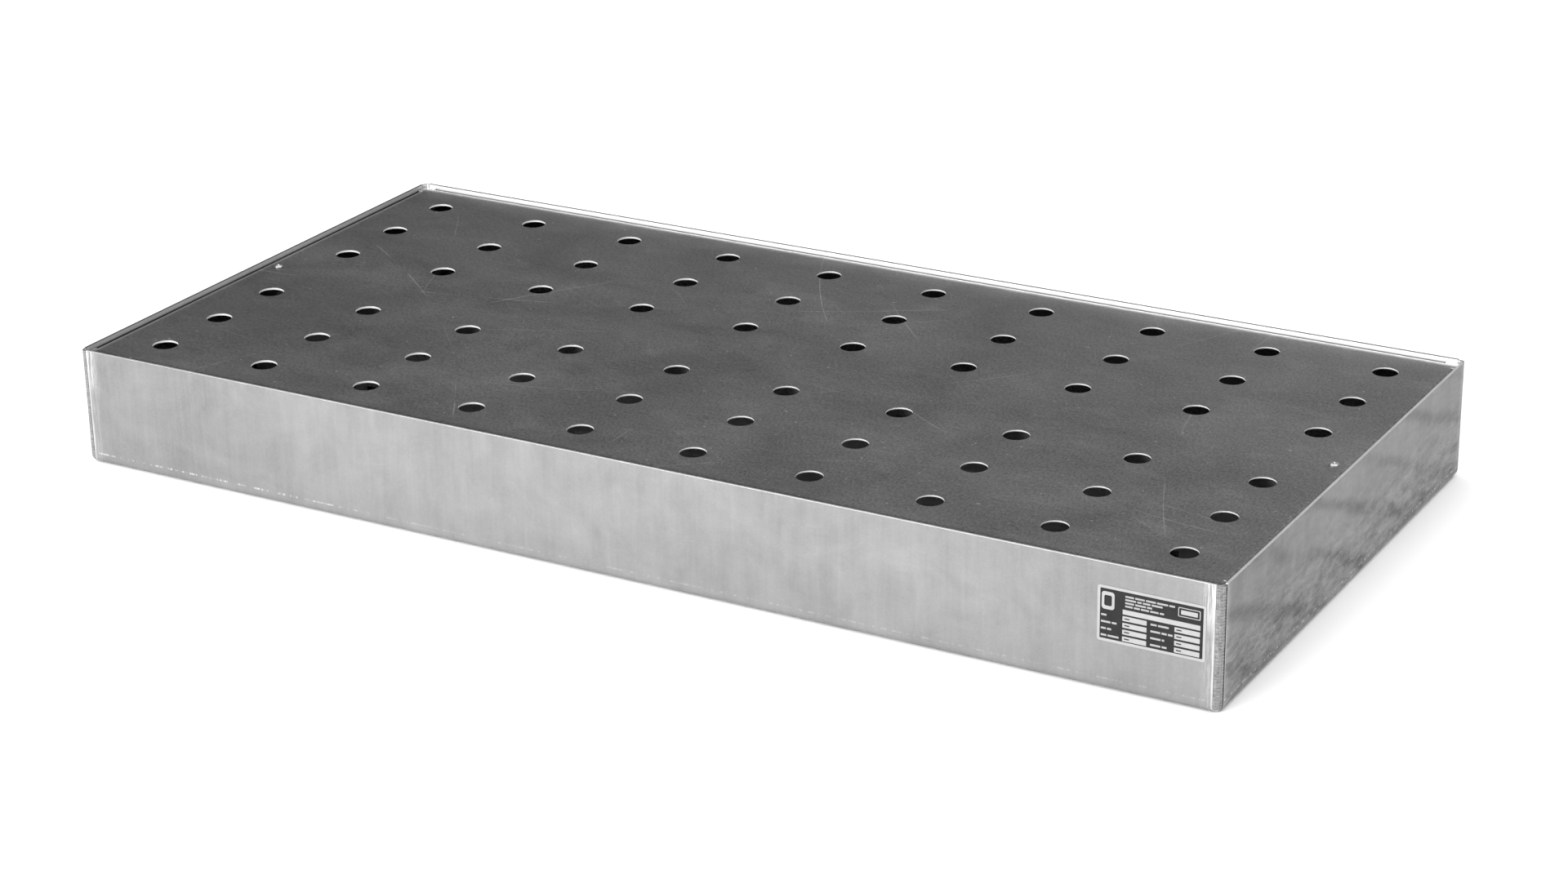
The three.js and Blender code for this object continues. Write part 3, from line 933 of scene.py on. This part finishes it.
def weld_bead(name, node, ripple, toes, seed, material):
    """A rippled quarter-round bead that closes one vertical corner.

    toes are the angles left open beside the end wall and beside the long wall.
    """
    low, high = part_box(node)
    sign_x = 1 if low.x > 0 else -1
    sign_y = 1 if low.y > 0 else -1
    axis = Vector((sign_x * (TRAY_HIGH.x - TRAY_BEND), sign_y * (TRAY_HIGH.y - TRAY_BEND), 0))
    crown = max(abs(high.x), abs(low.x)) - abs(axis.x) - WELD_MARGIN
    toe, bore = TRAY_BEND - 0.05 * MM, TRAY_BEND - SHEET
    bm = bmesh.new()
    outer, inner = [], []
    for share, z in bead_rows(low.z, high.z - WELD_MARGIN):
        outer_row, inner_row = [], []
        for column in range(WELD_COLUMNS + 1):
            turn = column / WELD_COLUMNS
            angle = toes[0] + (RIGHT_ANGLE - toes[0] - toes[1]) * turn
            out = share * Vector((sign_x * math.cos(angle), sign_y * math.sin(angle), 0))
            middle = axis + Vector((0, 0, z))
            radius = toe + (crown - toe) * bead_bulge(z, turn, seed, ripple)
            outer_row.append(bm.verts.new(middle + radius * out))
            inner_row.append(bm.verts.new(middle + bore * out))
        outer.append(outer_row)
        inner.append(inner_row)
    closed_shell(bm, outer, inner)
    return made_of(name, bm, [material], sharp=math.radians(60))


TURNED_STEPS = 48
BREAK_DEPTH = 1 * MM


def lathe(name, node, profile, material, jag=0.0):
    """Turns (radius, height) pairs round a node's upright middle line; jag roughens the top."""
    low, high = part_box(node)
    middle = (low + high) / 2
    bm = bmesh.new()
    rings = []
    for radius, z in profile:
        ring = []
        for step in range(TURNED_STEPS):
            angle = FULL_TURN * step / TURNED_STEPS
            across, along = math.cos(angle), math.sin(angle)
            lump = 0.0
            if jag and z > high.z - BREAK_DEPTH:
                lump = jag * (noise.noise(Vector((3 * across, 3 * along, radius / MM))) - 1)
            place = (middle.x + radius * across, middle.y + radius * along, z + lump)
            ring.append(bm.verts.new(place))
        rings.append(ring)
    for upper, lower in zip(rings, rings[1:]):
        for k in range(TURNED_STEPS):
            bm.faces.new((upper[k - 1], upper[k], lower[k], lower[k - 1]))
    bm.faces.new(rings[0])
    bm.faces.new(rings[-1][::-1])
    bmesh.ops.recalc_face_normals(bm, faces=bm.faces)
    return made_of(name, bm, [material], sharp=math.radians(35))


DOME_STEPS = 8
SWELL_STEPS = 6
BLIND_LENGTH = 3.6 * MM


def rivet_shell(name, node, material):
    """A domed head with a raised lip round its bore, a shank and a swollen blind end."""
    low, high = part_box(node)
    seat = DECK_HIGH.z + 0.05 * MM
    crown = high.z - seat
    head = (high.x - low.x) / 2
    bore, shank, swell = head * 0.34, head * 0.5, head * 0.73
    lip, dome_edge = bore + 0.25 * MM, head - 0.12 * MM
    profile = [(0.2 * MM, high.z - 1.0 * MM), (bore - 0.15 * MM, high.z - 0.95 * MM)]
    profile.append((bore, high.z - 0.3 * MM))
    for step in range(DOME_STEPS + 1):
        share = step / DOME_STEPS
        profile.append((lip + (dome_edge - lip) * share, high.z - crown * 0.72 * share**2.2))
    profile += [(head, seat + 0.22 * crown), (head, seat + 0.08 * MM), (head - 0.1 * MM, seat)]
    under_support = SUPPORT_HIGH.z - SHEET
    profile += [(shank, seat), (shank, under_support - 0.1 * MM)]
    for step in range(SWELL_STEPS + 1):
        share = step / SWELL_STEPS
        radius = shank + (swell - shank) * math.sin(HALF_TURN * share)
        profile.append((radius, under_support - 0.3 * MM - BLIND_LENGTH * share))
    profile += [(shank - 0.1 * MM, low.z + 0.2 * MM), (shank - 0.3 * MM, low.z), (0.3 * MM, low.z)]
    return lathe(name, node, profile, material)


def rivet_pin(name, node, material):
    """The broken mandrel inside the shell and its head below it."""
    low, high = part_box(node)
    head = (high.x - low.x) / 2
    pin = head * 0.63
    top = high.z - 0.05 * MM
    profile = [(0.25 * MM, top), (0.7 * MM, top), (pin - 0.1 * MM, top - 0.1 * MM)]
    profile.append((pin, top - 0.4 * MM))
    profile += [(pin, low.z + 2.2 * MM), (head - 0.15 * MM, low.z + 2.2 * MM), (head, low.z + 2.0 * MM)]
    profile += [(head, low.z + 0.4 * MM), (head - 0.4 * MM, low.z), (0.3 * MM, low.z)]
    return lathe(name, node, profile, material, jag=0.25 * MM)


# ---------------------------------------------------------------- the type plate


FILM_SURFACE = PLATE_LOW.y + 0.12 * MM
PANEL_SURFACE = PLATE_LOW.y + 0.07 * MM
FIELD_SURFACE = PLATE_LOW.y + 0.03 * MM
INSET_SURFACE = PLATE_LOW.y + 0.02 * MM
RING_SURFACE = PLATE_LOW.y + 0.015 * MM
MARK_SURFACE = PLATE_LOW.y + 0.01 * MM
PLATE_BORDER = 2.1 * MM
FILM_MATERIAL, PANEL_MATERIAL, PRINT_MATERIAL = 0, 1, 2
WORD_SEED = 5
WORD_LENGTHS = (0.04, 0.11)
WORD_SPACE = 0.012
SHORTEST_WORD = 0.015


def slab(bm, outline, back, front, material):
    """A flat slab with a given (x, z) outline between two depths."""
    rear = [bm.verts.new((x, back, z)) for x, z in outline]
    fore = [bm.verts.new((x, front, z)) for x, z in outline]
    faces = [bm.faces.new(fore), bm.faces.new(rear[::-1])]
    for k in range(len(outline)):
        faces.append(bm.faces.new((rear[k - 1], rear[k], fore[k], fore[k - 1])))
    for face in faces:
        face.material_index = material


def round_box(left, right, bottom, top, radius, steps=5):
    """The outline of a rectangle with rounded corners."""
    outline = []
    for x, z, start in (
        (right - radius, bottom + radius, 3),
        (right - radius, top - radius, 0),
        (left + radius, top - radius, 1),
        (left + radius, bottom + radius, 2),
    ):
        for step in range(steps + 1):
            angle = RIGHT_ANGLE * (start + step / steps)
            outline.append((x + radius * math.cos(angle), z + radius * math.sin(angle)))
    return outline


def type_plate(materials):
    """A film with a dark panel, pale fields and plain bars where a printed plate has its words.

    The print's places are shares of the dark panel's width and height, from its upper left corner.
    """
    left, right = PLATE_LOW.x + PLATE_BORDER, PLATE_HIGH.x - PLATE_BORDER
    bottom, top = PLATE_LOW.z + PLATE_BORDER, PLATE_HIGH.z - PLATE_BORDER
    width, height = right - left, top - bottom
    dice = random.Random(WORD_SEED)
    bm = bmesh.new()

    def printed(u_from, u_to, v_from, v_to, radius, front=FIELD_SURFACE, material=FILM_MATERIAL):
        low, high = top - height * v_to, top - height * v_from
        outline = round_box(left + width * u_from, left + width * u_to, low, high, radius)
        slab(bm, outline, FILM_SURFACE, front, material)

    def words(u_from, u_to, v_middle, half_height):
        """Short bars in a row, as long as the words of a printed line."""
        at = u_from
        while at < u_to - SHORTEST_WORD:
            end = min(at + dice.uniform(*WORD_LENGTHS), u_to)
            upper, lower = v_middle - half_height, v_middle + half_height
            printed(at, end, upper, lower, 0.1 * MM, material=PRINT_MATERIAL)
            at = end + WORD_SPACE

    film = round_box(PLATE_LOW.x, PLATE_HIGH.x, PLATE_LOW.z, PLATE_HIGH.z, 2 * MM)
    slab(bm, film, PLATE_HIGH.y, FILM_SURFACE, FILM_MATERIAL)
    panel = round_box(left, right, bottom, top, 0.6 * MM)
    slab(bm, panel, FILM_SURFACE + 0.02 * MM, PANEL_SURFACE, PANEL_MATERIAL)

    # A plain ring at the upper left
    printed(0.015, 0.14, 0.06, 0.41, 2.2 * MM)
    printed(0.04, 0.115, 0.13, 0.34, 1.3 * MM, RING_SURFACE, PANEL_MATERIAL)

    # Four short lines of bars, and a framed bar at the upper right
    for line, end in enumerate((0.725, 0.61, 0.51, 0.645)):
        words(0.245, end, 0.085 + 0.064 * line, 0.018)
    printed(0.757, 0.972, 0.065, 0.25, 0.8 * MM)
    printed(0.765, 0.964, 0.08, 0.235, 0.6 * MM, INSET_SURFACE, PANEL_MATERIAL)
    printed(0.785, 0.945, 0.115, 0.2, 0.3 * MM, MARK_SURFACE)

    # One wide field, and four rows of two labelled fields below it
    printed(0.222, 0.973, 0.35, 0.445, 0.25 * MM)
    label_ends = ((0.065, 0.685), (0.165, 0.71), (0.115, 0.63), (0.2, 0.655))
    for row, (left_end, middle_end) in enumerate(label_ends):
        upper = 0.48 + 0.135 * row
        middle = upper + 0.048
        printed(0.222, 0.457, upper, upper + 0.095, 0.25 * MM)
        printed(0.727, 0.971, upper, upper + 0.095, 0.25 * MM)
        words(0.012, left_end, middle, 0.019)
        words(0.495, middle_end, middle, 0.019)
        for start in (0.24, 0.745):
            mark = (start, start + 0.05, middle - 0.012, middle + 0.012)
            printed(*mark, 0.1 * MM, MARK_SURFACE, PANEL_MATERIAL)
    bmesh.ops.recalc_face_normals(bm, faces=bm.faces)
    return made_of("type_plate_print", bm, materials, sharp=math.radians(30))


# ---------------------------------------------------------------- studio


def studio_floor():
    """A plain pale floor just under the tray."""
    bm = bmesh.new()
    reach = 4.0
    corners = [(-reach, -reach), (reach, -reach), (reach, reach), (-reach, reach)]
    bm.faces.new([bm.verts.new((x, y, TRAY_LOW.z - 0.1 * MM)) for x, y in corners])
    material, tree = new_material("floor_paint")
    tone = clouds(tree, surface_point(tree), (0.6, 0.6, 0.6), 2.0)
    grey = total(tree, 0.9, around_half(tree, tone, 0.005))
    finish_metal(material, grey, 0.8, times(tree, tone, 0.1 * MM), 0.0)
    made_of("studio_floor", bm, [material])


def area_light(name, place_at, target, size, power):
    """A soft rectangular light that looks at a target."""
    data = bpy.data.lights.new(name, "AREA")
    data.shape = "RECTANGLE"
    data.size, data.size_y = size
    data.energy = power
    made = bpy.data.objects.new(name, data)
    bpy.context.collection.objects.link(made)
    made.location = place_at
    made.rotation_mode = "QUATERNION"
    made.rotation_quaternion = (Vector(target) - Vector(place_at)).to_track_quat("-Z", "Y")


def studio_world():
    """Pale near the horizon, dark above, so that flat metal reads dark and upright metal bright."""
    world = bpy.data.worlds.new("studio_world")
    bpy.context.scene.world = world
    world.use_nodes = True
    tree = world.node_tree
    direction = tree.nodes.new("ShaderNodeTexCoord").outputs["Generated"]
    sideways, _, upwards = coordinates(tree, direction)
    horizon = ramp(tree, sideways, -0.6, -0.15, 1.0, 1.66)
    sky = ramp(tree, sideways, -0.6, -0.15, 0.134, 0.59)
    share = ramp(tree, upwards, 0.06, 0.2)
    step = times(tree, number(tree, "SUBTRACT", sky, horizon), share)
    tree.links.new(number(tree, "ADD", horizon, step), tree.nodes["Background"].inputs["Color"])
    tree.nodes["Background"].inputs["Strength"].default_value = 1.0


CAMERA_AIM = Vector((0.0461, -0.0527, 0.05))
CAMERA_AZIMUTH = math.radians(29.65)
CAMERA_ELEVATION = math.radians(22.15)
CAMERA_ROLL = math.radians(-0.82)
CAMERA_DISTANCE = 2.82
CAMERA_LENS = 82.07


def camera():
    """The photograph's viewing angle: right of the front, well above the rim, from a distance."""
    back = Vector(
        (
            math.sin(CAMERA_AZIMUTH) * math.cos(CAMERA_ELEVATION),
            -math.cos(CAMERA_AZIMUTH) * math.cos(CAMERA_ELEVATION),
            math.sin(CAMERA_ELEVATION),
        )
    )
    level = Vector((0, 0, 1)).cross(back).normalized()
    upright = back.cross(level)
    right = math.cos(CAMERA_ROLL) * level + math.sin(CAMERA_ROLL) * upright
    up = back.cross(right)
    data = bpy.data.cameras.new("camera")
    data.sensor_width = 36
    data.lens = CAMERA_LENS
    data.clip_start, data.clip_end = 0.05, 60
    made = bpy.data.objects.new("camera", data)
    bpy.context.collection.objects.link(made)
    turn = Matrix((right, up, back)).transposed().to_4x4()
    made.matrix_world = Matrix.Translation(CAMERA_AIM + CAMERA_DISTANCE * back) @ turn
    bpy.context.scene.camera = made


# ---------------------------------------------------------------- the object


def put(piece, body, node):
    """Lets a piece stand for a node and ride on its body."""
    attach(piece, body)
    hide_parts(node)


def build_object():
    edge, punched, bead = sheared_edge(), punched_edge(), weld_metal()
    put(tray_pan([tray_zinc(), edge]), "tray", "tray_pan")
    welds = (
        ("weld_front_left", 0.15, 2, 2),
        ("weld_front_right", 0.85, 6, 1),
        ("weld_back_left", 0.4, 2, 2),
        ("weld_back_right", 0.3, 2, 2),
    )
    for seed, (node, ripple, end_toe, side_toe) in enumerate(welds):
        toes = (math.radians(end_toe), math.radians(side_toe))
        put(weld_bead(node + "_bead", node, ripple, toes, seed * 3.7, bead), "tray", node)
    inks = [
        print_ink("plate_film", 0.36, 0.02),
        print_ink("plate_panel", 0.012, 0.004),
        print_ink("plate_words", 0.32, 0.02),
    ]
    put(type_plate(inks), "tray", "type_plate")
    put(perforated_deck([deck_zinc(), edge, punched]), "deck", "perforated_deck")
    put(centre_support([support_zinc(), edge]), "deck", "centre_support")
    shell = rivet_metal("rivet_aluminium", 0.34, 0.2)
    pin = rivet_metal("rivet_steel", 0.16, 0.42)
    for side in ("left", "right"):
        node = "rivet_body_" + side
        put(rivet_shell("rivet_shell_" + side, node, shell), "deck", node)
        node = "rivet_mandrel_" + side
        put(rivet_pin("rivet_pin_" + side, node, pin), "deck", node)


build_object()
studio_floor()
studio_world()
area_light("overhead", (0, 0, 5), (0, 0, 0), (10, 10), 550)
area_light("key", (-0.9, -2.85, 1.15), (0, 0, 0.05), (2.4, 0.8), 96)
camera()
bpy.context.scene.view_settings.view_transform = "Standard"
